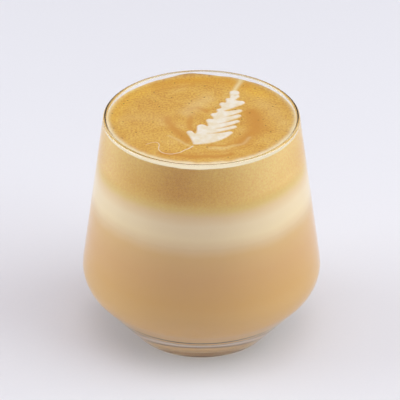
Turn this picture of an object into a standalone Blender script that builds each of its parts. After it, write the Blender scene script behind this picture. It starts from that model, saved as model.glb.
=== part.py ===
"""Layered milk coffee in a clear tumbler with a thick base, and a leaf poured on its foam.

Metres, +Z up. The origin is the centre of the foot, on the surface that the glass stands on.
The drink is three layers, one on the other: milky coffee, white milk, and golden crema on top.
"""

import math

import bmesh
import bpy

# Tumbler, outside: a rim, a cone that widens downwards, a round belly, and a cone in to the foot
HEIGHT = 0.0903
RIM_RADIUS = 0.0368
BELLY_RADIUS = 0.0455
BELLY_HEIGHT = 0.0271
BELLY_ARC = 0.013
FOOT_RADIUS = 0.0266
FOOT_ROUNDING = 0.002

# Tumbler, inside: a thin wall over a solid glass base
RIM_WALL = 0.0014
BODY_WALL = 0.0022
RIM_ROUNDING = 0.00065
BASE_THICKNESS = 0.012
CAVITY_CORNER = 0.005

# Drink: the height of each layer's top, and the froth that climbs the wall
COFFEE_TOP = 0.0565
MILK_TOP = 0.0693
FOAM_TOP = 0.088
FROTH_EDGE_WIDTH = 0.0022
FROTH_EDGE_RISE = 0.0009

# Poured leaf, from its base to its tip
LEAF_BASE = (-0.003, -0.0176)
LEAF_ANGLE = math.radians(69.0)
LEAF_THICKNESS = 0.0005

# Each row of leaflets, from the base up, in mm: the middle of the leaflet's round end and its radius,
# then the notch after it. Places are the distance along the leaf and the distance to the right of it.
RIGHT_LEAFLETS_MM = (
    ((13.6, 9.7), 0.7, (9.8, 3.3)),
    ((18.5, 9.4), 0.9, (12.9, 2.3)),
    ((22.8, 9.0), 0.85, (17.2, 2.6)),
    ((26.9, 8.2), 0.8, (22.6, 2.9)),
    ((31.2, 7.4), 0.75, (27.4, 2.1)),
    ((36.6, 5.5), 1.2, (36.6, 2.3)),
    ((40.6, 1.8), 0.9, (42.2, 1.4)),
)
LEFT_LEAFLETS_MM = (
    ((8.7, -5.0), 0.8, (7.4, -2.5)),
    ((14.6, -2.5), 1.5, (13.5, 0.1)),
    ((19.8, -1.3), 0.75, (19.3, 0.4)),
    ((24.6, -1.9), 0.8, (26.4, -1.0)),
    ((28.4, -0.8), 0.6, (28.6, 0.1)),
    ((33.0, -1.1), 0.75, (33.2, 0.1)),
    ((35.9, -0.5), 0.5, (36.6, -0.1)),
    ((39.2, -0.4), 0.5, (39.9, -0.3)),
)
LEAF_TIP_MM = (43.6, -0.5)
LEAF_TIP_RADIUS_MM = 1.1
FIRST_LEAFLET_BOW = 0.14
LEAFLET_BOW = 0.035
EDGE_STEPS = 3
END_STEPS = 4

GAP = 0.0003
AROUND = 72
ARC_STEP = math.radians(9)
SHARP = math.radians(35)


def clear_scene():
    for old in list(bpy.data.objects):
        bpy.data.objects.remove(old, do_unlink=True)


def new_collection(name):
    collection = bpy.data.collections.new(name)
    bpy.context.scene.collection.children.link(collection)
    return collection


def new_material(name, colour, roughness, transmission=0.0):
    material = bpy.data.materials.new(name)
    material.use_nodes = True
    shader = material.node_tree.nodes["Principled BSDF"]
    shader.inputs["Base Color"].default_value = (*colour, 1.0)
    shader.inputs["Roughness"].default_value = roughness
    shader.inputs["Metallic"].default_value = 0.0
    shader.inputs["Transmission Weight"].default_value = transmission
    material.diffuse_color = (*colour, 1.0)
    return material


def tangent_slope(point, centre, radius):
    """Widening per unit of height, of the line from point that touches the outside of the circle."""
    across = centre[0] - point[0]
    along = centre[1] - point[1]
    lean = math.atan2(across, abs(along))
    swing = math.asin(radius / math.hypot(across, along))
    return math.tan(lean + swing)


def side_corners(rim_inset, body_inset):
    """Rim, belly and foot corners of the wall's profile, as (radius, height), before rounding."""
    centre = (BELLY_RADIUS - BELLY_ARC, BELLY_HEIGHT)
    arc = BELLY_ARC - body_inset
    rim = (RIM_RADIUS - rim_inset, HEIGHT)
    outer_slope = tangent_slope((FOOT_RADIUS, 0.0), centre, BELLY_ARC)
    foot = (FOOT_RADIUS - body_inset * math.hypot(1.0, outer_slope), 0.0)
    up = tangent_slope(foot, centre, arc)
    down = tangent_slope(rim, centre, arc)
    height = (rim[0] + down * HEIGHT - foot[0]) / (up + down)
    return rim, (foot[0] + up * height, height), foot


def rounded_path(corners):
    """Points along a path of (radius, height, rounding) corners, with an arc at each rounding."""
    path = []
    for i, (r, z, rounding) in enumerate(corners):
        if rounding == 0.0:
            path.append((r, z))
            continue
        before, after = corners[i - 1], corners[i + 1]
        start = math.atan2(z - before[1], r - before[0])
        turn = math.atan2(after[1] - z, after[0] - r) - start
        turn = (turn + math.pi) % (2 * math.pi) - math.pi
        reach = rounding * math.tan(abs(turn) / 2)
        side = math.copysign(rounding, turn)
        centre_r = r - reach * math.cos(start) - side * math.sin(start)
        centre_z = z - reach * math.sin(start) + side * math.cos(start)
        steps = max(2, round(abs(turn) / ARC_STEP))
        for k in range(steps + 1):
            angle = start + turn * k / steps
            path.append((centre_r + side * math.sin(angle), centre_z - side * math.cos(angle)))
    return path


def outer_path():
    """Outside of the tumbler, from the rim down to the middle of the foot."""
    rim, belly, foot = side_corners(0.0, 0.0)
    inner_rim = (rim[0] - RIM_WALL, HEIGHT, 0.0)
    corners = [inner_rim, (*rim, RIM_ROUNDING), (*belly, BELLY_ARC)]
    corners += [(*foot, FOOT_ROUNDING), (0.0, 0.0, 0.0)]
    return rounded_path(corners)[1:]


def cavity_path(inset=0.0):
    """Inside of the tumbler, from the middle of its floor up to the rim, held in by an inset."""
    rim, belly, foot = side_corners(RIM_WALL + inset, BODY_WALL + inset)
    floor = BASE_THICKNESS + inset
    share = floor / belly[1]
    corner_r = foot[0] + share * (belly[0] - foot[0])
    corners = [(0.0, floor, 0.0), (corner_r, floor, CAVITY_CORNER - inset)]
    corners += [(*belly, BELLY_ARC - BODY_WALL - inset), (*rim, RIM_ROUNDING)]
    corners += [(rim[0] + RIM_WALL, HEIGHT, 0.0)]
    return rounded_path(corners)[:-1]


def stretch_between(path, low, high):
    """The part of a rising path between two heights, with its ends cut to them."""
    kept = []
    for (r0, z0), (r1, z1) in zip(path, path[1:]):
        for height in (low, high):
            if z0 < height < z1:
                share = (height - z0) / (z1 - z0)
                kept.append((r0 + share * (r1 - r0), height))
        if low < z1 < high:
            kept.append((r1, z1))
    return sorted(kept, key=lambda point: point[1])


def turned(name, path, material, collection):
    """Solid of revolution about Z. The path runs down the outer side and ends on the axis."""
    profile = bpy.data.meshes.new(name)
    points = [(r, 0.0, z) for r, z in path]
    profile.from_pydata(points, [(i, i + 1) for i in range(len(points) - 1)], [])
    piece = bpy.data.objects.new(name, profile)
    collection.objects.link(piece)
    screw = piece.modifiers.new("Turn", "SCREW")
    screw.steps = AROUND
    screw.render_steps = AROUND
    screw.use_merge_vertices = True
    screw.merge_threshold = 0.00001
    graph = bpy.context.evaluated_depsgraph_get()
    piece.data = bpy.data.meshes.new_from_object(piece.evaluated_get(graph))
    piece.modifiers.clear()
    bpy.data.meshes.remove(profile)
    finish_mesh(piece, material)
    return piece


def finish_mesh(piece, material):
    piece.data.name = piece.name
    piece.data.shade_smooth()
    piece.data.set_sharp_from_angle(angle=SHARP)
    piece.data.materials.clear()
    piece.data.materials.append(material)


def make_glass(collection):
    """One blown and pressed tumbler: the wall and the solid base are one piece of glass."""
    material = new_material("clear_glass", (0.95, 0.96, 0.95), 0.02, transmission=1.0)
    return turned("glass", cavity_path() + outer_path(), material, collection)


def make_coffee(collection):
    """Milky coffee, from the glass floor up. Its lower corner is as round as the cavity's."""
    material = new_material("milky_coffee", (0.49, 0.29, 0.13), 0.35)
    side = cavity_path(GAP)
    wall = stretch_between(side, BASE_THICKNESS + GAP, COFFEE_TOP - GAP / 2)
    path = [(0.0, COFFEE_TOP - GAP / 2)] + wall[::-1] + side[1::-1]
    return turned("coffee_layer", path, material, collection)


def make_milk(collection):
    """White milk that floats between the coffee and the crema."""
    material = new_material("steamed_milk", (0.80, 0.66, 0.49), 0.4)
    low, high = COFFEE_TOP + GAP / 2, MILK_TOP - GAP / 2
    wall = stretch_between(cavity_path(GAP), low, high)
    path = [(0.0, high)] + wall[::-1] + [(0.0, low)]
    return turned("milk_layer", path, material, collection)


def make_crema(collection):
    """Golden crema foam. Its top is flat, and its edge climbs the wall as froth."""
    material = new_material("crema_foam", (0.66, 0.38, 0.11), 0.6)
    low = MILK_TOP + GAP / 2
    edge_top = FOAM_TOP + FROTH_EDGE_RISE
    wall = stretch_between(cavity_path(GAP), low, edge_top)
    wall_r = wall[-1][0]
    path = [(0.0, FOAM_TOP)]
    for share in (0.0, 0.45, 0.75):
        rise = FROTH_EDGE_RISE * share**2.5
        path.append((wall_r - FROTH_EDGE_WIDTH * (1.0 - share), FOAM_TOP + rise))
    path += wall[::-1] + [(0.0, low)]
    return turned("crema", path, material, collection)


def bowed_edge(start, end, bow):
    """Points between start and end on a curve that bows outwards by a share of its length."""
    across = (start[1] - end[1], end[0] - start[0])
    middle = [(a + b) / 2 + 2 * bow * c for a, b, c in zip(start, end, across)]
    points = []
    for k in range(1, EDGE_STEPS):
        t = k / EDGE_STEPS
        weights = ((1 - t) ** 2, 2 * t * (1 - t), t**2)
        u, v = (sum(w * p for w, p in zip(weights, row)) for row in zip(start, middle, end))
        points.append((u, v))
    return points


def leaflet(start, end_middle, radius, stop, bow):
    """Points round one leaflet, from the notch before it to the notch after it."""
    root = [(a + b) / 2 for a, b in zip(start, stop)]
    heading = math.atan2(end_middle[0] - root[0], end_middle[1] - root[1])
    end = []
    for k in range(END_STEPS + 1):
        angle = heading + math.pi * (k / END_STEPS - 0.5)
        end.append((end_middle[0] + radius * math.sin(angle), end_middle[1] + radius * math.cos(angle)))
    near = bowed_edge(start, end[0], bow)
    far = bowed_edge(end[-1], stop, -LEAFLET_BOW)
    return [start] + near + end + far


def leaf_outline():
    """Closed outline of the leaf, in mm along it and to its right: up its right side, down its left."""
    outline = []
    notch = (0.0, 0.0)
    for end_middle, radius, next_notch in RIGHT_LEAFLETS_MM:
        bow = LEAFLET_BOW if outline else FIRST_LEAFLET_BOW
        outline += leaflet(notch, end_middle, radius, next_notch, bow)
        notch = next_notch
    notches = [(0.0, 0.0)] + [row[2] for row in LEFT_LEAFLETS_MM]
    outline += leaflet(notch, LEAF_TIP_MM, LEAF_TIP_RADIUS_MM, notches[-1], 0.0)
    for i in reversed(range(len(LEFT_LEAFLETS_MM))):
        end_middle, radius, notch = LEFT_LEAFLETS_MM[i]
        outline += leaflet(notch, end_middle, radius, notches[i], 0.0)
    return outline


def close_caps(mesh):
    """Join a filled curve's caps to its sides, with every face turned outwards."""
    body = bmesh.new()
    body.from_mesh(mesh)
    bmesh.ops.remove_doubles(body, verts=body.verts, dist=0.00001)
    bmesh.ops.recalc_face_normals(body, faces=body.faces)
    body.to_mesh(mesh)
    body.free()


def make_leaf(collection):
    """Thin leaf of white milk foam that lies on the crema."""
    material = new_material("milk_foam", (0.84, 0.74, 0.58), 0.6)
    along = (math.cos(LEAF_ANGLE) / 1000, math.sin(LEAF_ANGLE) / 1000)
    curve = bpy.data.curves.new("foam_leaf", "CURVE")
    curve.dimensions = "2D"
    curve.fill_mode = "BOTH"
    curve.extrude = LEAF_THICKNESS / 2
    outline = leaf_outline()
    spline = curve.splines.new("POLY")
    spline.points.add(len(outline) - 1)
    spline.use_cyclic_u = True
    for point, (u, v) in zip(spline.points, outline):
        x = LEAF_BASE[0] + u * along[0] + v * along[1]
        y = LEAF_BASE[1] + u * along[1] - v * along[0]
        point.co = (x, y, 0.0, 1.0)
    drawn = bpy.data.objects.new("foam_leaf_outline", curve)
    collection.objects.link(drawn)
    graph = bpy.context.evaluated_depsgraph_get()
    mesh = bpy.data.meshes.new_from_object(drawn.evaluated_get(graph))
    bpy.data.objects.remove(drawn)
    close_caps(mesh)
    leaf = bpy.data.objects.new("foam_leaf", mesh)
    collection.objects.link(leaf)
    leaf.location.z = FOAM_TOP + GAP + LEAF_THICKNESS / 2
    finish_mesh(leaf, material)
    return leaf


def main():
    clear_scene()
    collection = new_collection("layered_coffee_in_tumbler")
    for make in (make_glass, make_coffee, make_milk, make_crema, make_leaf):
        make(collection)


main()
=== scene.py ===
"""Looks of a layered milk coffee in a clear tumbler, with a leaf poured on its golden crema.

Lengths are metres, unless a name or its comment says mm. +Z is up, the foot stands at the origin
on the floor, and the camera is on the -Y side. Angles round the glass start at +X and turn
towards +Y.
"""

import math

import bpy
import numpy as np
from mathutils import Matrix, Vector, noise

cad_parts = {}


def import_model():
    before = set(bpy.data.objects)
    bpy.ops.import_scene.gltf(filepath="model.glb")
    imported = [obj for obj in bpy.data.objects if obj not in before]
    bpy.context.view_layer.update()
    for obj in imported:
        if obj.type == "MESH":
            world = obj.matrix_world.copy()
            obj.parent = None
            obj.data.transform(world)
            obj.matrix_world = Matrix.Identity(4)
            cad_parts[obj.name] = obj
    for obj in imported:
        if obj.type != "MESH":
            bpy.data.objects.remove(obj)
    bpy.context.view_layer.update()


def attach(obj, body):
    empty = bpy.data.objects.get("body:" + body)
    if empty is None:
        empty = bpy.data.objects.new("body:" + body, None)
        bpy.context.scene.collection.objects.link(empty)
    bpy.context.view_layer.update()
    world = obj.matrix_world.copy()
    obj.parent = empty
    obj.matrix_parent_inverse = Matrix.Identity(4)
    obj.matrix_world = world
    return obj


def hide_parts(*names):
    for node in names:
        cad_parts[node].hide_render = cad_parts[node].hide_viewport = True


# Tumbler, the same sizes as its solid
HEIGHT = 0.0903
RIM_RADIUS = 0.0368
BELLY_RADIUS = 0.0455
BELLY_HEIGHT = 0.0271
BELLY_ARC = 0.013
FOOT_RADIUS = 0.0266
FOOT_ROUNDING = 0.002
RIM_WALL = 0.0014
BODY_WALL = 0.0022
RIM_ROUNDING = 0.00065
BASE_THICKNESS = 0.012
CAVITY_CORNER = 0.005

# Drink. It reaches a little way into the wall, so that no air shows between drink and glass
COFFEE_TOP = 0.0565
MILK_TOP = 0.0693
FOAM_TOP = 0.088
INTO_WALL = 0.00008

# Edge of the foam: how far it climbs the wall at the back and at the front, how wide the climb is,
# and the one place at the back where it clings higher
CLIMB_BACK = 0.0006
CLIMB_FRONT = 0.0003
CLIMB_WIDTH = 0.0022
CLIMB_CURVE = 2.5
CLIMB_UNEVENNESS = 0.4
HUMP_TURN = math.radians(98)
HUMP_SPREAD = math.radians(9)
HUMP_RISE = 0.0009

# Pale froth along the wall: its width at the back, at the sides and at the front, and how softly it
# ends. A width just under 0 leaves only the soft end of it, a faint edge
FROTH_WIDTH_BACK = -0.0003
FROTH_WIDTH_SIDE = 0.0012
FROTH_WIDTH_FRONT = 0.005
FROTH_UNEVENNESS = 0.15
FROTH_SOFTNESS = 0.0004

# How far down the glass the froth reaches, at the front and at the back, and how softly it ends
FROTH_DEPTH_FRONT = 0.0001
FROTH_DEPTH_BACK = 0.002
FROTH_DEPTH_SOFTNESS = 0.0001

# Places round the glass where painted light makes the crema's side paler, at the front's two sides,
# and painted shade makes it deeper, near the front's middle: turn, spread and strength
PAINTED_LIGHT_PATCHES = (
    (math.radians(316), math.radians(27), 0.7),
    (math.radians(205), math.radians(15), 0.45),
)
PAINTED_SHADE_PATCHES = ((math.radians(258), math.radians(16), 0.5),)
PATCH_FOOT = 0.0725
PATCH_FADE = 0.003
PATCH_UNEVENNESS = 0.35
PATCH_BUMP_SIZE = 0.011

# Low ripples of the crema's top
RIPPLE_HEIGHT = 0.00005
RIPPLE_SIZE = 0.004

# Fineness of the turned surfaces. The crema's rows crowd towards its upper edge, on its side and on
# its top
GLASS_AROUND = 192
CREMA_AROUND = 320
CREMA_SIDE_ROWS = 48
CREMA_TOP_ROWS = 120
SIDE_CROWDING = 1.7
TOP_CROWDING = 1.25
ARC_STEP = math.radians(4)
LONGEST_STEP = 0.0016
SHARP = math.radians(35)

# Poured leaf, drawn finer than its solid: for each leaflet the middle of its round end, the end's
# radius and the notch after it, as the distance along the leaf and the distance to the right of it
LEAF_BASE = (-0.003, -0.0176)
LEAF_ANGLE = math.radians(69.0)
LEAF_HEIGHT = 0.0003
RIGHT_LEAFLETS_MM = (
    ((13.4, 9.6), 0.95, (8.2, 0.6)),
    ((18.0, 9.4), 1.0, (11.6, 0.8)),
    ((22.3, 8.9), 1.05, (15.8, 1.0)),
    ((26.5, 8.0), 1.05, (21.2, 1.2)),
    ((30.3, 7.0), 1.05, (27.2, 0.6)),
    ((36.4, 5.2), 1.5, (37.4, 2.2)),
    ((40.3, 1.9), 1.3, (41.6, 2.1)),
)
LEFT_LEAFLETS_MM = (
    ((8.2, -4.7), 1.2, (7.2, -1.9)),
    ((13.7, -2.0), 1.8, (14.6, 0.3)),
    ((19.2, -0.9), 1.4, (21.2, -0.1)),
    ((23.9, -1.0), 1.3, (26.3, -0.6)),
    ((27.9, -0.7), 0.9, (29.8, -0.1)),
    ((33.0, -1.0), 1.2, (34.4, 0.0)),
    ((37.2, -0.4), 0.9, (38.8, -0.2)),
)
LEAF_TIP_MM = (42.8, 0.2)
LEAF_TIP_RADIUS_MM = 1.9
FIRST_LEAFLET_BOW = 0.14
LEAFLET_BOW = 0.035
LEAFLET_EDGE_STEPS = 14
LEAFLET_END_STEPS = 8

# Cushion of the leaf: its grid and how far its edge is blurred, the cover that it starts at, the
# covers between which it rises to its full height, and its clearance over the crema
LEAF_GRID_MM = 0.2
LEAF_SOFTNESS_MM = 0.42
LEAF_LEAST_COVER = 0.05
LEAF_RISE_COVER = (0.2, 0.9)
LEAF_CLEARANCE = 0.00003

# Milk thread that trails from the leaf's base, seen from above. It thins and fades along its way
THREAD_MM = (
    (-3.1, -18.4), (-4.6, -20.2), (-6.4, -21.6), (-8.0, -23.2), (-11.3, -24.4), (-14.3, -23.4),
    (-15.8, -20.8), (-15.6, -17.7), (-16.3, -15.9), (-18.0, -15.8), (-20.6, -17.3),
)
THREAD_WIDTH = 0.0007
THREAD_HEIGHT = 0.00012
THREAD_STEPS = 8
THREAD_ACROSS = 7
THREAD_THINNING = 0.55
THREAD_FADING = 0.4
THREAD_UNEVENNESS = 0.25
THREAD_MILK = 0.9

# Streaks that the pour drew in the crema, seen from above: points in mm, half width in mm and
# strength. They drift a little to and fro, as foam does, and fade at a softness shared by all
STREAK_DRIFT = 0.001
STREAK_DRIFT_SIZE = 0.006
STREAK_SOFTNESS = 1.4
DARK_STREAKS = (
    (((-12.9, 2.4), (-12.5, -1.0), (-10.2, -5.6), (-7.6, -10.7), (-5.5, -15.0)), 1.7, 0.8),
    (((-15.4, -23.2), (-7.7, -25.6), (-0.4, -26.4), (5.1, -26.2), (11.0, -24.2)), 1.1, 0.9),
    (((-4.8, -24.0), (1.5, -23.4), (7.0, -22.7), (13.2, -21.0), (18.0, -17.5)), 0.7, 0.5),
    (((-4.5, 9.4), (-1.5, 11.0), (1.9, 8.4)), 1.0, 0.7),
    (((-4.5, 4.6), (-4.6, 0.0), (-4.5, -5.0)), 1.2, 0.75),
    (((18.6, 7.4), (20.6, 2.5), (20.3, -5.2), (17.2, -11.3), (14.0, -15.5)), 2.9, 0.9),
    (((3.3, -18.2), (8.5, -17.9), (12.4, -15.8), (14.6, -12.4)), 0.6, 0.8),
    (((-17.9, 24.3), (-13.7, 25.9), (-8.8, 27.5), (-3.4, 28.6)), 1.1, 0.55),
    (((-17.9, 28.0), (-8.8, 31.2), (1.5, 31.8), (7.3, 31.4), (11.8, 29.9), (16.8, 27.5)), 2.4, 0.5),
)
PALE_STREAKS = (
    (((11.8, 22.6), (14.2, 28.6), (16.6, 34.2)), 0.8, 0.75),
    (((1.9, 18.0), (-1.9, 13.3), (-5.6, 7.1)), 2.8, 0.22),
    (((-27.7, 2.5), (-21.0, 3.2), (-15.0, 2.5)), 3.4, 0.08),
    (((21.9, 16.4), (26.7, 8.6), (31.3, -5.2)), 2.8, 0.1),
    (((-3.3, -19.1), (-5.8, -17.4), (-8.9, -13.9), (-12.1, -10.7)), 0.45, 0.25),
    (((3.5, -20.5), (9.0, -19.8), (14.5, -16.9), (18.0, -12.5)), 0.7, 0.25),
)
GOLD_STREAKS = (
    (((-33.0, 2.0), (-31.5, 10.0), (-27.5, 18.5), (-21.0, 25.8), (-10.0, 31.3)), 2.6, 0.75),
    (((-10.0, 31.3), (0.0, 32.8), (9.0, 31.2), (16.5, 27.0), (23.0, 20.0)), 2.8, 0.85),
)

# Camera: far off with a long lens, as the photograph was taken
CAMERA_DISTANCE = 1.2
CAMERA_ELEVATION = math.radians(30.57)
CAMERA_AIM_HEIGHT = 0.0538
CAMERA_SHIFT_MM = (-0.57, 0.19)
LENS_MM = 284.85
SENSOR_MM = 36.0

# Softboxes: name, place, width, power and colour. They all face one point inside the glass
SOFTBOXES_FACE = (0.0, 0.0, 0.05)
SOFTBOXES = (
    ("overhead_softbox", (0.15, -0.2, 1.35), 1.1, 4.9, "ffffff"),
    ("right_softbox", (1.0, -0.18, 0.6), 1.2, 11.0, "e6faff"),
    ("left_softbox", (-1.0, 0.05, 0.35), 0.8, 7.2, "e6faff"),
)

# Paper floor, a hair below the foot so that the two don't touch
FLOOR_REACH = 6.0
FLOOR_DROP = 0.00005


def linear(hex_colour):
    """Linear colour with full alpha, from an sRGB hex value such as "f1dab9"."""
    parts = [int(hex_colour[i : i + 2], 16) / 255 for i in (0, 2, 4)]
    return (*[p / 12.92 if p <= 0.04045 else ((p + 0.055) / 1.055) ** 2.4 for p in parts], 1.0)


def add(tree, kind, inputs=None, stops=None, **settings):
    """Add a node. An input's value is set, or linked if it is another node's output."""
    made = tree.nodes.new("ShaderNode" + kind)
    for name, value in settings.items():
        setattr(made, name, value)
    for place, (position, colour) in enumerate(stops or ()):
        elements = made.color_ramp.elements
        stop = elements[place] if place < 2 else elements.new(position)
        stop.position = position
        stop.color = colour
    for socket, value in (inputs or {}).items():
        if isinstance(value, bpy.types.NodeSocket):
            tree.links.new(value, made.inputs[socket])
        else:
            made.inputs[socket].default_value = value
    return made


def noise_pattern(tree, place, per_metre, detail, roughness, distortion=0.0):
    """Smooth noise over an object, with about this many bumps to a metre."""
    inputs = {"Vector": place.outputs["Object"], "Scale": per_metre}
    inputs |= {"Detail": detail, "Roughness": roughness, "Distortion": distortion}
    return add(tree, "TexNoise", inputs).outputs[0]


def mesh_values(tree, name):
    """The values that set_values gave to the points of a mesh."""
    return add(tree, "Attribute", attribute_name=name).outputs["Fac"]


def ranged(tree, value, from_ends, to_ends, soft=False):
    """A value moved from one range to another and held to its ends, eased at both if soft."""
    inputs = dict(enumerate((value, *from_ends, *to_ends)))
    easing = "SMOOTHSTEP" if soft else "LINEAR"
    return add(tree, "MapRange", inputs, interpolation_type=easing).outputs[0]


def laid_over(tree, upper, lower, share, blend_type="MIX"):
    """Colour of an upper layer over a lower one, at a share of its full strength."""
    inputs = {0: share, 6: lower, 7: upper}
    mix = add(tree, "Mix", inputs, data_type="RGBA", blend_type=blend_type)
    return mix.outputs[2]


def new_finish(name):
    """Empty material and its node tree, ready for the finish's own nodes."""
    material = bpy.data.materials.new(name)
    material.use_nodes = True
    tree = material.node_tree
    tree.nodes.clear()
    return material, tree


# Profiles


def tangent_slope(point, centre, radius):
    """Widening per unit of height of the line from point that touches the circle's outside."""
    across = centre[0] - point[0]
    along = centre[1] - point[1]
    lean = math.atan2(across, abs(along))
    swing = math.asin(radius / math.hypot(across, along))
    return math.tan(lean + swing)


def side_corners(rim_inset, body_inset):
    """Rim, belly and foot corners of the wall's profile, as (radius, height), before rounding."""
    centre = (BELLY_RADIUS - BELLY_ARC, BELLY_HEIGHT)
    arc = BELLY_ARC - body_inset
    rim = (RIM_RADIUS - rim_inset, HEIGHT)
    outer_slope = tangent_slope((FOOT_RADIUS, 0.0), centre, BELLY_ARC)
    foot = (FOOT_RADIUS - body_inset * math.hypot(1.0, outer_slope), 0.0)
    up = tangent_slope(foot, centre, arc)
    down = tangent_slope(rim, centre, arc)
    height = (rim[0] + down * HEIGHT - foot[0]) / (up + down)
    return rim, (foot[0] + up * height, height), foot


def rounded_path(corners):
    """Points along a path of (radius, height, rounding) corners, with an arc at each rounding."""
    path = []
    for i, (r, z, rounding) in enumerate(corners):
        if rounding == 0.0:
            path.append((r, z))
            continue
        before, after = corners[i - 1], corners[i + 1]
        start = math.atan2(z - before[1], r - before[0])
        turn = math.atan2(after[1] - z, after[0] - r) - start
        turn = (turn + math.pi) % (2 * math.pi) - math.pi
        reach = rounding * math.tan(abs(turn) / 2)
        side = math.copysign(rounding, turn)
        centre_r = r - reach * math.cos(start) - side * math.sin(start)
        centre_z = z - reach * math.sin(start) + side * math.cos(start)
        steps = max(4, round(abs(turn) / ARC_STEP))
        for k in range(steps + 1):
            angle = start + turn * k / steps
            path.append((centre_r + side * math.sin(angle), centre_z - side * math.cos(angle)))
    return path


def finer(path):
    """The same path, its straight parts cut into short steps so that they shade as straight."""
    points = [path[0]]
    for (r0, z0), (r1, z1) in zip(path, path[1:]):
        steps = max(1, math.ceil(math.hypot(r1 - r0, z1 - z0) / LONGEST_STEP))
        for k in range(1, steps + 1):
            points.append((r0 + (r1 - r0) * k / steps, z0 + (z1 - z0) * k / steps))
    return points


def tumbler_outside():
    """From the rim down to the middle of the foot."""
    rim, belly, foot = side_corners(0.0, 0.0)
    inner_rim = (rim[0] - RIM_WALL, HEIGHT, 0.0)
    corners = [inner_rim, (*rim, RIM_ROUNDING), (*belly, BELLY_ARC)]
    corners += [(*foot, FOOT_ROUNDING), (0.0, 0.0, 0.0)]
    return rounded_path(corners)[1:]


def tumbler_inside(inset=0.0):
    """From the middle of the floor up to the rim, held in by an inset."""
    rim, belly, foot = side_corners(RIM_WALL + inset, BODY_WALL + inset)
    floor = BASE_THICKNESS + inset
    share = floor / belly[1]
    corner_r = foot[0] + share * (belly[0] - foot[0])
    corners = [(0.0, floor, 0.0), (corner_r, floor, CAVITY_CORNER - inset)]
    corners += [(*belly, BELLY_ARC - BODY_WALL - inset), (*rim, RIM_ROUNDING)]
    corners += [(rim[0] + RIM_WALL, HEIGHT, 0.0)]
    return rounded_path(corners)[:-1]


def stretch_between(path, low, high):
    """The part of a rising path between two heights, with its ends cut to them."""
    kept = []
    for (r0, z0), (r1, z1) in zip(path, path[1:]):
        for height in (low, high):
            if z0 < height < z1:
                share = (height - z0) / (z1 - z0)
                kept.append((r0 + share * (r1 - r0), height))
        if low < z1 < high:
            kept.append((r1, z1))
    return sorted(kept, key=lambda point: point[1])


# Meshes


def make_piece(name, points, faces, materials, record_slot, *stands_for):
    """Smooth mesh that rides on the part and may stand for nodes. Its record slot is not used."""
    mesh = bpy.data.meshes.new(name)
    mesh.from_pydata([tuple(p) for p in points], [], faces)
    mesh.shade_smooth()
    mesh.set_sharp_from_angle(angle=SHARP)
    for material in materials:
        mesh.materials.append(material)
    piece = bpy.data.objects.new(name, mesh)
    bpy.context.scene.collection.objects.link(piece)
    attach(piece, "root")
    if stands_for:
        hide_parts(*stands_for)
    return piece


def turned_grid(path, around):
    """Points and faces of a path turned about Z. The path runs down the outer side."""
    points, rings = [], []
    for r, z in path:
        if r < 1e-9:
            rings.append([len(points)] * around)
            points.append((0.0, 0.0, z))
            continue
        rings.append(list(range(len(points), len(points) + around)))
        for k in range(around):
            angle = 2 * math.pi * k / around
            points.append((r * math.cos(angle), r * math.sin(angle), z))
    return points, joined_rings(rings)


def joined_rings(rings):
    """Faces between rings of point numbers, triangles where a ring is one point on the axis."""
    faces = []
    for upper, lower in zip(rings, rings[1:]):
        for k in range(len(upper)):
            after = (k + 1) % len(upper)
            corners = [upper[k], lower[k], lower[after], upper[after]]
            face = [c for i, c in enumerate(corners) if c != corners[i - 1]]
            faces.append(face)
    return faces


def set_values(mesh, name, values):
    """One number for each point of a mesh, for its material to read."""
    attribute = mesh.attributes.new(name, "FLOAT", "POINT")
    attribute.data.foreach_set("value", np.asarray(values, np.float32))


# Finishes

# Refraction of the glass and of the drink, which is mostly water
GLASS_IOR = 1.52
DRINK_IOR = 1.34


def fire_polished_glass():
    """Soda-lime glass, pressed and fire-polished: clear and mirror smooth, with soft dark edges.

    Shadows and scattered light go straight through it, as glass this thin hardly dims them.
    """
    material, tree = new_finish("fire_polished_glass")
    glass = add(
        tree,
        "BsdfPrincipled",
        {
            "Base Color": linear("ffffff"),
            "Roughness": 0.0,
            "IOR": GLASS_IOR,
            "Transmission Weight": 1.0,
        },
    )
    clear = add(tree, "BsdfTransparent", {"Color": linear("f3f5f3")})
    path = add(tree, "LightPath")
    straight = add(
        tree,
        "Math",
        {0: path.outputs["Is Shadow Ray"], 1: path.outputs["Is Diffuse Ray"]},
        operation="MAXIMUM",
    )
    both = add(
        tree,
        "MixShader",
        {0: straight.outputs[0], 1: glass.outputs[0], 2: clear.outputs[0]},
    )
    add(tree, "OutputMaterial", {"Surface": both.outputs[0]})
    return material


# Froth where the foam meets the glass: warm ivory
FROTH_WHITE = "f3dcb4"

# Colours of the drink by height in mm, as it shows at the side of the glass, and how far one layer
# creeps into the next
LAYER_COLOURS = (
    (12.0, "e0b173"),
    (24.0, "ddac6d"),
    (33.0, "daa45e"),
    (44.0, "dba567"),
    (52.5, "e0af71"),
    (56.5, "e9c392"),
    (60.0, "f4d5a8"),
    (65.0, "f4d5ab"),
    (68.5, "edc694"),
    (71.3, "e7bd6f"),
    (74.0, "e5b158"),
    (78.0, "e1a74b"),
    (84.0, "e2ad54"),
    (87.8, "e4b35e"),
)
COLOURED_HEIGHT_MM = 100
LAYER_CREEP = 0.003

# Painted shade: a dark line round the foot of the drink, where the corner of the glass's floor
# bends the light
CORNER_SHADE_HEIGHT = 0.01418
CORNER_SHADE_HALF_WIDTH = 0.00042

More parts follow.
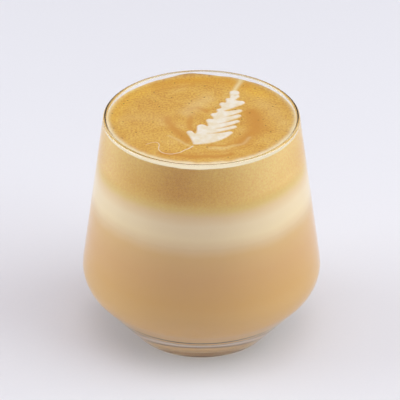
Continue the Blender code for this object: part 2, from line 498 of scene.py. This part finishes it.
# Painted light and shade under the drink: rings that stand in for the light and shade which the
# glass's base bends onto it, with a pale middle that lightens the shade round the foot. The height
# that they lie below, their reach off the axis, and their colours from its start (0) to its end (1)
RINGS_BELOW = 0.01205
RINGS_START = 0.025
RINGS_END = 0.032
BASE_LIGHT_AND_SHADE_RINGS = (
    (0.05, "f4dcb4"),
    (0.15, "7a4a1c"),
    (0.37, "8a5424"),
    (0.45, "b98246"),
    (0.51, "fbd8a2"),
    (0.58, "bd884b"),
    (0.80, "b98549"),
    (0.90, "ffe0b0"),
    (1.00, "dcac6c"),
)


def layered_drink(name, roughness, shine):
    """Drink against the glass: milk coffee, steamed milk and crema foam, opaque and evenly wet.

    Each layer bleeds a little into the next one, so that their borders look soft.
    """
    material, tree = new_finish(name)
    place = add(tree, "TexCoord")
    # Slow waves about 25 mm long, where one layer has crept into the next
    waves = noise_pattern(tree, place, 40.0, detail=3.0, roughness=0.5)
    height = add(tree, "SeparateXYZ", {0: place.outputs["Object"]})
    crept = add(
        tree,
        "Math",
        {0: waves, 1: LAYER_CREEP, 2: height.outputs["Z"]},
        operation="MULTIPLY_ADD",
    )
    # The waves lie about 0.5, so half of the creep is taken off again
    per_metre = 1000.0 / COLOURED_HEIGHT_MM
    share = add(
        tree,
        "Math",
        {0: crept.outputs[0], 1: per_metre, 2: -LAYER_CREEP / 2 * per_metre},
        operation="MULTIPLY_ADD",
    )
    colour = add(
        tree,
        "ValToRGB",
        {0: share.outputs[0]},
        stops=[(mm / COLOURED_HEIGHT_MM, linear(tone)) for mm, tone in LAYER_COLOURS],
    )
    # Painted shade: a dark line along the corner of the glass's floor
    painted_corner_shade = add(
        tree,
        "Math",
        {0: height.outputs["Z"], 1: CORNER_SHADE_HEIGHT, 2: CORNER_SHADE_HALF_WIDTH},
        operation="COMPARE",
    )
    with_corner_shade = laid_over(tree, linear("4f3318"), colour.outputs[0], painted_corner_shade.outputs[0])
    # Painted light and shade under the drink: bright and dark rings that stand in for what the
    # glass's base bends onto it. They show through the foot as fine streaks
    level = add(tree, "CombineXYZ", {0: height.outputs["X"], 1: height.outputs["Y"], 2: 0.0})
    off_axis = add(tree, "VectorMath", {0: level.outputs[0]}, operation="LENGTH")
    outwards = ranged(tree, off_axis.outputs["Value"], (RINGS_START, RINGS_END), (0.0, 1.0))
    rings = add(
        tree,
        "ValToRGB",
        {0: outwards},
        stops=[(reach, linear(tone)) for reach, tone in BASE_LIGHT_AND_SHADE_RINGS],
    )
    under = add(tree, "Math", {0: height.outputs["Z"], 1: RINGS_BELOW}, operation="LESS_THAN")
    with_painted_base_rings = laid_over(tree, rings.outputs[0], with_corner_shade, under.outputs[0])
    # Painted light makes the crema's side paler at the front's two sides, and painted shade makes
    # it deeper near the front's middle
    patch = mesh_values(tree, "painted_light_patch")
    with_painted_light = laid_over(tree, linear("f6c97c"), with_painted_base_rings, patch)
    deep = mesh_values(tree, "painted_shade_patch")
    with_painted_shade = laid_over(tree, linear("c98836"), with_painted_light, deep)
    # The foam's upper edge has turned to froth on the glass
    froth = mesh_values(tree, "froth")
    edged = laid_over(tree, linear(FROTH_WHITE), with_painted_shade, froth)
    # Fine bubbles in the foam layer are 0.2 mm across, drawn at 0.7 mm to show at all
    bubbles = noise_pattern(tree, place, 1500.0, detail=1.0, roughness=0.6)
    speckle = ranged(tree, bubbles, (0.3, 0.7), (0.0, 1.0))
    in_foam = ranged(tree, height.outputs["Z"], (0.068, 0.076), (0.0, 0.13), soft=True)
    grain = laid_over(tree, speckle, edged, in_foam, "OVERLAY")
    surface = add(
        tree,
        "BsdfPrincipled",
        {"Base Color": grain, "Roughness": roughness, "IOR": DRINK_IOR},
    )
    # Beyond 61 degrees, light that runs inside the wall glances off the drink as off a mirror
    glance = add(tree, "LayerWeight", {"Blend": 0.5})
    beyond = ranged(tree, glance.outputs["Facing"], (0.48, 0.56), (0.0, shine))
    mirror = add(tree, "BsdfAnisotropic", {"Color": linear("fbeedd"), "Roughness": 0.02})
    both = add(
        tree,
        "MixShader",
        {0: beyond, 1: surface.outputs[0], 2: mirror.outputs[0]},
    )
    add(tree, "OutputMaterial", {"Surface": both.outputs[0]})
    return material


def crema_with_milk(name):
    """Crema: fine golden-brown foam, matt and faintly wet, with streaks drawn by the pour.

    The "milk" values say where milk foam was poured on it: there it is warm white.
    """
    material, tree = new_finish(name)
    place = add(tree, "TexCoord")
    dark = mesh_values(tree, "dark_streak")
    pale = mesh_values(tree, "pale_streak")
    gold = mesh_values(tree, "gold_streak")
    froth = mesh_values(tree, "froth")
    milk = mesh_values(tree, "milk")
    # Cloudy patches about 12 mm across, a little swirled
    clouds = noise_pattern(tree, place, 85.0, detail=4.0, roughness=0.55, distortion=0.6)
    golden = add(
        tree,
        "ValToRGB",
        {0: clouds},
        stops=[(0.30, linear("d2973f")), (0.50, linear("daa44a")), (0.70, linear("e1b15e"))],
    )
    # Along its back and left edge it is a richer gold
    richer = laid_over(tree, linear("e4ab40"), golden.outputs[0], gold)
    # Bubbles of 0.1 to 0.3 mm, drawn at 0.8 mm to show at all
    bubbles = noise_pattern(tree, place, 1250.0, detail=2.0, roughness=0.7)
    speckle = ranged(tree, bubbles, (0.3, 0.7), (0.0, 1.0))
    grain = laid_over(tree, speckle, richer, 0.34, "OVERLAY")
    darker = laid_over(tree, linear("cd8a33"), grain, dark)
    lighter = laid_over(tree, linear("f0d8a2"), darker, pale)
    # Open bubbles in the crema show as dark dots about 0.6 mm wide, in a third of the 2.4 mm cells
    pores = add(
        tree,
        "TexVoronoi",
        {"Vector": place.outputs["Object"], "Scale": 420.0, "Randomness": 1.0},
        feature="F1",
    )
    pore = ranged(tree, pores.outputs["Distance"], (0.10, 0.17), (1.0, 0.0), soft=True)
    some = ranged(tree, pores.outputs["Color"], (0.56, 0.66), (0.0, 0.85), soft=True)
    dotted = add(tree, "Math", {0: pore, 1: some}, operation="MULTIPLY")
    pitted = laid_over(tree, linear("8c5a22"), lighter, dotted.outputs[0])
    edged = laid_over(tree, linear(FROTH_WHITE), pitted, froth)
    # Milk foam is a little creamier in patches about 2.5 mm across
    cloudy = noise_pattern(tree, place, 400.0, detail=3.0, roughness=0.5)
    foam_white = add(
        tree,
        "ValToRGB",
        {0: cloudy},
        stops=[(0.35, linear("ebd4b0")), (0.65, linear("f2e2cf"))],
    )
    poured = laid_over(tree, foam_white.outputs[0], edged, milk)
    relief = add(
        tree,
        "Bump",
        {"Height": bubbles, "Strength": 0.25, "Distance": 0.0002},
    )
    surface = add(
        tree,
        "BsdfPrincipled",
        {
            "Base Color": poured,
            "Roughness": 0.5,
            "IOR": DRINK_IOR,
            "Normal": relief.outputs[0],
        },
    )
    add(tree, "OutputMaterial", {"Surface": surface.outputs[0]})
    return material


# Pieces


def make_tumbler(glass):
    """Tumbler of one wall: up its inside, over the rim and down its outside to the foot."""
    path = finer(tumbler_inside() + tumbler_outside())
    points, faces = turned_grid(path, GLASS_AROUND)
    return make_piece("tumbler", points, faces, [glass], "clear_glass", "glass")


def make_coffee():
    """Milky coffee, from the glass floor up."""
    side = tumbler_inside(-INTO_WALL)
    wall = stretch_between(side, BASE_THICKNESS - INTO_WALL, COFFEE_TOP)
    path = finer([(0.0, COFFEE_TOP)] + wall[::-1] + side[1::-1])
    points, faces = turned_grid(path, GLASS_AROUND)
    finish = layered_drink("milky_coffee_wet", 0.25, 1.0)
    return make_piece("milky_coffee", points, faces, [finish], "milky_coffee", "coffee_layer")


def make_milk():
    """White milk between the coffee and the crema."""
    wall = stretch_between(tumbler_inside(-INTO_WALL), COFFEE_TOP, MILK_TOP)
    path = finer([(0.0, MILK_TOP)] + wall[::-1] + [(0.0, COFFEE_TOP)])
    points, faces = turned_grid(path, GLASS_AROUND)
    finish = layered_drink("steamed_milk_wet", 0.3, 1.0)
    return make_piece("steamed_milk", points, faces, [finish], "steamed_milk", "milk_layer")


def streak_strength(streaks, x, y):
    """How strongly the streaks colour each point: 1 on a full streak's line, fading to 0."""
    strength = np.zeros(len(x))
    for line_mm, half_width_mm, full in streaks:
        nearest = np.full(len(x), 1e9)
        for (ax, ay), (bx, by) in zip(line_mm, line_mm[1:]):
            ax, ay, bx, by = ax / 1000, ay / 1000, bx / 1000, by / 1000
            length = (bx - ax) ** 2 + (by - ay) ** 2
            share = np.clip(((x - ax) * (bx - ax) + (y - ay) * (by - ay)) / length, 0, 1)
            gap = np.hypot(x - ax - share * (bx - ax), y - ay - share * (by - ay))
            nearest = np.minimum(nearest, gap)
        here = full * np.exp(-((nearest / (half_width_mm / 1000)) ** 2) / STREAK_SOFTNESS)
        strength = np.maximum(strength, here)
    return strength


# Side of the drink up to the rim, for wall_radius to read
DRINK_SIDE = [point for point in tumbler_inside(-INTO_WALL) if point[1] < HEIGHT - RIM_ROUNDING]


def wall_radius(z):
    """Radius of the drink's side at a height."""
    return float(np.interp(z, [p[1] for p in DRINK_SIDE], [p[0] for p in DRINK_SIDE]))


def froth_cover(inwards, turn):
    """How much pale froth covers the crema, at a distance in from the wall."""
    front, back = max(0.0, -math.sin(turn)), max(0.0, math.sin(turn))
    width = FROTH_WIDTH_SIDE + (FROTH_WIDTH_FRONT - FROTH_WIDTH_SIDE) * front
    width += (FROTH_WIDTH_BACK - FROTH_WIDTH_SIDE) * back**0.5
    width *= 1.0 + FROTH_UNEVENNESS * uneven(math.cos(turn), math.sin(turn), 7.0, 0.1)
    return 1.0 / (1.0 + math.exp((inwards - width) / FROTH_SOFTNESS))


def froth_on_glass(below_edge, turn):
    """How much pale froth covers the crema's side, at a distance below its climbing edge."""
    back = max(0.0, math.sin(turn)) ** 0.5
    depth = FROTH_DEPTH_FRONT + (FROTH_DEPTH_BACK - FROTH_DEPTH_FRONT) * back
    return 1.0 / (1.0 + math.exp((below_edge - depth) / FROTH_DEPTH_SOFTNESS))


def foam_climb(turn):
    """How far the foam climbs the wall at a turn round the glass."""
    back = 0.5 + 0.5 * math.sin(turn)
    waver = uneven(math.cos(turn), math.sin(turn), 3.0, 0.3)
    waver += 0.5 * uneven(math.cos(turn), math.sin(turn), 5.0, 0.08)
    hump = HUMP_RISE * math.exp(-(((turn - HUMP_TURN) / HUMP_SPREAD) ** 2))
    even = CLIMB_FRONT + (CLIMB_BACK - CLIMB_FRONT) * back
    return even * (1.0 + CLIMB_UNEVENNESS * waver) + hump


def uneven(x, y, z, size):
    """Smooth unevenness between about -1 and 1, with bumps of the given size.

    Where the place has only two coordinates, the third number just picks one of many patterns.
    """
    return noise.noise(Vector((x, y, z)) / size)


def make_crema():
    """Golden crema: its side against the glass, its top, and the froth that climbs the wall."""
    points, rings, froth = [], [], []
    turns = [2 * math.pi * k / CREMA_AROUND for k in range(CREMA_AROUND)]
    climbs = [foam_climb(turn) for turn in turns]
    for row in range(CREMA_SIDE_ROWS + 1):
        share = 1.0 - (1.0 - row / CREMA_SIDE_ROWS) ** SIDE_CROWDING
        rings.append(list(range(len(points), len(points) + CREMA_AROUND)))
        for turn, climb in zip(turns, climbs):
            z = MILK_TOP + (FOAM_TOP + climb - MILK_TOP) * share
            r = wall_radius(z)
            points.append((r * math.cos(turn), r * math.sin(turn), z))
            froth.append(froth_on_glass(FOAM_TOP + climb - z, turn))
    edge_r = wall_radius(FOAM_TOP)
    for row in range(1, CREMA_TOP_ROWS):
        r = edge_r * (1.0 - (row / CREMA_TOP_ROWS) ** TOP_CROWDING)
        rings.append(list(range(len(points), len(points) + CREMA_AROUND)))
        for turn, climb in zip(turns, climbs):
            x, y = r * math.cos(turn), r * math.sin(turn)
            near = max(0.0, 1.0 - (edge_r - r) / CLIMB_WIDTH)
            z = crema_height(x, y) + climb * near**CLIMB_CURVE
            points.append((x, y, z))
            froth.append(froth_cover(edge_r - r, turn))
    rings.append([len(points)] * CREMA_AROUND)
    points.append((0.0, 0.0, crema_height(0.0, 0.0)))
    froth.append(0.0)
    # The rings start at the bottom of the side, so they are turned round to run down the outside
    faces = joined_rings(rings[::-1])
    top = crema_with_milk("crema_top")
    side = layered_drink("crema_side", 0.3, 0.3)
    piece = make_piece("crema_foam", points, faces, [side, top], "crema_foam", "crema")
    first_top = (CREMA_SIDE_ROWS + 1) * CREMA_AROUND
    for polygon in piece.data.polygons:
        polygon.material_index = 1 if max(polygon.vertices) >= first_top else 0
    mark_pour(piece.data, points, froth, [0.0] * len(points))
    # Painted light and shade on the crema's side, for its finish to read
    for name, patches in (("painted_light_patch", PAINTED_LIGHT_PATCHES), ("painted_shade_patch", PAINTED_SHADE_PATCHES)):
        set_values(piece.data, name, [patch_strength(patches, *point) for point in points])
    return piece


def patch_strength(patches, x, y, z):
    """How strongly the patches of painted light and shade colour the crema's side at a point,
    fading out above the milk.
    """
    turn = math.atan2(y, x) % (2 * math.pi)
    found = sum(
        full * math.exp(-(((turn - middle) / spread) ** 2)) for middle, spread, full in patches
    )
    found *= 1.0 + PATCH_UNEVENNESS * uneven(x, y, z, PATCH_BUMP_SIZE)
    above_milk = min(1.0, max(0.0, (z - PATCH_FOOT) / PATCH_FADE))
    return min(1.0, found * above_milk)


def mark_pour(mesh, points, froth, milk):
    """Streaks, froth and milk at each point of the crema or of what was poured on it."""
    x = np.array([p[0] for p in points])
    y = np.array([p[1] for p in points])
    x_drawn = x + STREAK_DRIFT * np.array([uneven(*p[:2], 1.0, STREAK_DRIFT_SIZE) for p in points])
    y_drawn = y + STREAK_DRIFT * np.array([uneven(*p[:2], 2.0, STREAK_DRIFT_SIZE) for p in points])
    set_values(mesh, "dark_streak", streak_strength(DARK_STREAKS, x_drawn, y_drawn))
    set_values(mesh, "pale_streak", streak_strength(PALE_STREAKS, x_drawn, y_drawn))
    set_values(mesh, "gold_streak", streak_strength(GOLD_STREAKS, x_drawn, y_drawn))
    set_values(mesh, "froth", froth)
    set_values(mesh, "milk", milk)


def crema_height(x, y):
    """Height of the crema's top away from the wall."""
    return FOAM_TOP + RIPPLE_HEIGHT * uneven(x, y, 0.0, RIPPLE_SIZE)


def bowed_edge(start, end, bow, steps):
    """Points between start and end on a curve that bows outwards by a share of its length."""
    across = (start[1] - end[1], end[0] - start[0])
    middle = [(a + b) / 2 + 2 * bow * c for a, b, c in zip(start, end, across)]
    points = []
    for k in range(1, steps):
        t = k / steps
        weights = ((1 - t) ** 2, 2 * t * (1 - t), t**2)
        u, v = (sum(w * p for w, p in zip(weights, row)) for row in zip(start, middle, end))
        points.append((u, v))
    return points


def leaflet(start, end_middle, radius, stop, bow):
    """Points round one leaflet, from the notch before it to the notch after it."""
    root = [(a + b) / 2 for a, b in zip(start, stop)]
    heading = math.atan2(end_middle[0] - root[0], end_middle[1] - root[1])
    end = []
    for k in range(LEAFLET_END_STEPS + 1):
        angle = heading + math.pi * (k / LEAFLET_END_STEPS - 0.5)
        along, right = radius * math.sin(angle), radius * math.cos(angle)
        end.append((end_middle[0] + along, end_middle[1] + right))
    near = bowed_edge(start, end[0], bow, LEAFLET_EDGE_STEPS)
    far = bowed_edge(end[-1], stop, -LEAFLET_BOW, LEAFLET_EDGE_STEPS)
    return [start] + near + end + far


def leaf_outline():
    """Closed outline of the leaf, in mm along it and to its right: up its right, down its left."""
    outline = []
    notch = (0.0, 0.0)
    for end_middle, radius, next_notch in RIGHT_LEAFLETS_MM:
        bow = LEAFLET_BOW if outline else FIRST_LEAFLET_BOW
        outline += leaflet(notch, end_middle, radius, next_notch, bow)
        notch = next_notch
    notches = [(0.0, 0.0)] + [row[2] for row in LEFT_LEAFLETS_MM]
    outline += leaflet(notch, LEAF_TIP_MM, LEAF_TIP_RADIUS_MM, notches[-1], 0.0)
    for i in reversed(range(len(LEFT_LEAFLETS_MM))):
        end_middle, radius, notch = LEFT_LEAFLETS_MM[i]
        outline += leaflet(notch, end_middle, radius, notches[i], 0.0)
    return outline


def inside_loop(points, loop):
    """True for each point that the closed loop goes round."""
    found = np.zeros(len(points), bool)
    for (au, av), (bu, bv) in zip(loop, np.roll(loop, -1, axis=0)):
        spans = (av > points[:, 1]) != (bv > points[:, 1])
        with np.errstate(divide="ignore", invalid="ignore"):
            cut = au + (points[:, 1] - av) * (bu - au) / (bv - av)
        found ^= spans & (points[:, 0] < cut)
    return found


def softened(grid, softness):
    """The grid of numbers, blurred along both its directions."""
    reach = math.ceil(3 * softness)
    weights = np.exp(-((np.arange(-reach, reach + 1) / softness) ** 2) / 2)
    weights /= weights.sum()
    for axis in (0, 1):
        grid = np.apply_along_axis(np.convolve, axis, grid, weights, "same")
    return grid


def make_leaf(foam):
    """Poured leaf: a low cushion of milk foam that blends into the crema round it."""
    loop = np.array(leaf_outline())
    margin = 4 * LEAF_SOFTNESS_MM
    low, high = loop.min(0) - margin, loop.max(0) + margin
    along = np.arange(low[0], high[0], LEAF_GRID_MM)
    right = np.arange(low[1], high[1], LEAF_GRID_MM)
    grid_u, grid_v = np.meshgrid(along, right, indexing="ij")
    flat = np.column_stack([grid_u.ravel(), grid_v.ravel()])
    covered = inside_loop(flat, loop).astype(float).reshape(grid_u.shape)
    thick = softened(covered, LEAF_SOFTNESS_MM / LEAF_GRID_MM)
    cosine, sine = math.cos(LEAF_ANGLE) / 1000, math.sin(LEAF_ANGLE) / 1000
    rise_from, rise_to = LEAF_RISE_COVER
    points, milk, numbers = [], [], {}
    for i, j in np.argwhere(thick > LEAF_LEAST_COVER):
        x = LEAF_BASE[0] + along[i] * cosine + right[j] * sine
        y = LEAF_BASE[1] + along[i] * sine - right[j] * cosine
        rise = min(1.0, max(0.0, (thick[i, j] - rise_from) / (rise_to - rise_from)))
        rise = rise * rise * (3 - 2 * rise)
        numbers[i, j] = len(points)
        points.append((x, y, crema_height(x, y) + LEAF_CLEARANCE + LEAF_HEIGHT * rise))
        milk.append(rise)
    faces = []
    for i, j in numbers:
        # The grid is mirrored on its way from (along, right) to (x, y), so the faces turn round
        corners = [(i, j), (i, j + 1), (i + 1, j + 1), (i + 1, j)]
        if all(corner in numbers for corner in corners):
            faces.append([numbers[corner] for corner in corners])
    piece = make_piece("poured_leaf", points, faces, [foam], "milk_foam", "foam_leaf")
    mark_pour(piece.data, points, [0.0] * len(points), milk)
    return piece


def smooth_line(points, steps):
    """Points on a smooth curve through all the given points."""
    line = []
    ends = [points[0]] + list(points) + [points[-1]]
    for before, start, stop, after in zip(ends, ends[1:], ends[2:], ends[3:]):
        for k in range(steps):
            t = k / steps
            place = []
            for a, b, c, d in zip(before, start, stop, after):
                place.append(
                    0.5 * (2 * b + (c - a) * t + (2 * a - 5 * b + 4 * c - d) * t**2)
                    + 0.5 * (3 * b - a - 3 * c + d) * t**3
                )
            line.append(tuple(place))
    line.append(tuple(points[-1]))
    return line


def make_thread(foam):
    """Fine thread of milk that trails from the leaf's base, low and round on the crema."""
    line = [(a / 1000, b / 1000) for a, b in smooth_line(THREAD_MM, THREAD_STEPS)]
    points, faces, milk = [], [], []
    for i, (x, y) in enumerate(line):
        ahead = line[min(i + 1, len(line) - 1)]
        behind = line[max(i - 1, 0)]
        heading = math.atan2(ahead[1] - behind[1], ahead[0] - behind[0])
        share = i / (len(line) - 1)
        half = THREAD_WIDTH / 2 * (1.0 - THREAD_THINNING * share)
        half *= 1.0 + THREAD_UNEVENNESS * uneven(x, y, 5.0, 0.002)
        for k in range(THREAD_ACROSS):
            side = 2 * k / (THREAD_ACROSS - 1) - 1
            crown = (1.0 - side**2) * (1.0 - THREAD_FADING * share)
            points.append(
                (
                    x - side * half * math.sin(heading),
                    y + side * half * math.cos(heading),
                    crema_height(x, y) + THREAD_HEIGHT * crown,
                )
            )
            milk.append(THREAD_MILK * crown)
    for i in range(len(line) - 1):
        for k in range(THREAD_ACROSS - 1):
            a = i * THREAD_ACROSS + k
            faces.append((a, a + THREAD_ACROSS, a + THREAD_ACROSS + 1, a + 1))
    piece = make_piece("milk_thread", points, faces, [foam], "milk_foam")
    mark_pour(piece.data, points, [0.0] * len(points), milk)
    return piece


# Studio


def paper_floor():
    """Pale matt paper, larger than any view needs, with faint fibre clumps about 1 mm across."""
    material, tree = new_finish("pale_paper")
    place = add(tree, "TexCoord")
    fibres = noise_pattern(tree, place, 900.0, detail=2.0, roughness=0.5)
    tone = add(
        tree,
        "ValToRGB",
        {0: fibres},
        stops=[(0.0, linear("ebe3e4")), (1.0, linear("eee6e7"))],
    )
    surface = add(tree, "BsdfPrincipled", {"Base Color": tone.outputs[0], "Roughness": 0.85})
    add(tree, "OutputMaterial", {"Surface": surface.outputs[0]})
    mesh = bpy.data.meshes.new("floor")
    ways = ((-1, -1), (1, -1), (1, 1), (-1, 1))
    corners = [(x * FLOOR_REACH, y * FLOOR_REACH, 0.0) for x, y in ways]
    mesh.from_pydata(corners, [], [(0, 1, 2, 3)])
    mesh.materials.append(material)
    floor = bpy.data.objects.new("floor", mesh)
    floor.location.z = -FLOOR_DROP
    bpy.context.scene.collection.objects.link(floor)


def softbox(name, place, size, power, colour):
    """Square soft light. It shows as a shine on the glass, but not when looked at through it."""
    lamp = bpy.data.lights.new(name, "AREA")
    lamp.shape = "SQUARE"
    lamp.size = size
    lamp.energy = power
    lamp.color = linear(colour)[:3]
    light = bpy.data.objects.new(name, lamp)
    light.location = place
    towards = Vector(SOFTBOXES_FACE) - Vector(place)
    light.rotation_euler = towards.to_track_quat("-Z", "Y").to_euler()
    light.visible_camera = False
    light.visible_transmission = False
    bpy.context.scene.collection.objects.link(light)


def studio_world():
    """Pale studio all round: bright above, behind and beside, dim and warm low at the front."""
    world = bpy.data.worlds.new("studio")
    world.use_nodes = True
    tree = world.node_tree
    tree.nodes.clear()
    place = add(tree, "TexCoord")
    way = add(tree, "SeparateXYZ", {0: place.outputs["Generated"]})
    front = ranged(tree, way.outputs["Y"], (-0.85, 0.0), (1.0, 0.0), soft=True)
    low = ranged(tree, way.outputs["Z"], (0.25, 0.85), (1.0, 0.0), soft=True)
    dim = add(tree, "Math", {0: front, 1: low}, operation="MULTIPLY")
    tone = laid_over(tree, linear("523320"), linear("f0f1ff"), dim.outputs[0])
    # Bright low walls behind and at the sides, which light the floor close to the foot
    low_wall = ranged(tree, way.outputs["Z"], (0.0, 0.3), (1.2, 0.0), soft=True)
    rear = add(tree, "Math", {0: 1.0, 1: front}, operation="SUBTRACT")
    strength = add(
        tree,
        "Math",
        {0: low_wall, 1: rear.outputs[0], 2: 0.52},
        operation="MULTIPLY_ADD",
    )
    glow = add(tree, "Background", {"Color": tone, "Strength": strength.outputs[0]})
    add(tree, "OutputWorld", {"Surface": glow.outputs[0]})
    bpy.context.scene.world = world


def make_camera():
    """Camera at the photograph's angle, 1.2 m off, with the glass a little right of the middle."""
    data = bpy.data.cameras.new("camera")
    data.lens = LENS_MM
    data.sensor_width = SENSOR_MM
    data.clip_start = 0.05
    data.clip_end = 30.0
    camera = bpy.data.objects.new("camera", data)
    rise, level = math.sin(CAMERA_ELEVATION), math.cos(CAMERA_ELEVATION)
    right, up = (mm / 1000 for mm in CAMERA_SHIFT_MM)
    camera.location = (
        right,
        -CAMERA_DISTANCE * level + up * rise,
        CAMERA_AIM_HEIGHT + CAMERA_DISTANCE * rise + up * level,
    )
    camera.rotation_euler = (math.pi / 2 - CAMERA_ELEVATION, 0.0, 0.0)
    bpy.context.scene.collection.objects.link(camera)
    bpy.context.scene.camera = camera


def main():
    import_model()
    bpy.context.scene.view_settings.view_transform = "Standard"
    glass = fire_polished_glass()
    foam = crema_with_milk("poured_milk_foam")
    make_tumbler(glass)
    make_coffee()
    make_milk()
    make_crema()
    make_leaf(foam)
    make_thread(foam)
    paper_floor()
    studio_world()
    for softbox_values in SOFTBOXES:
        softbox(*softbox_values)
    make_camera()


main()
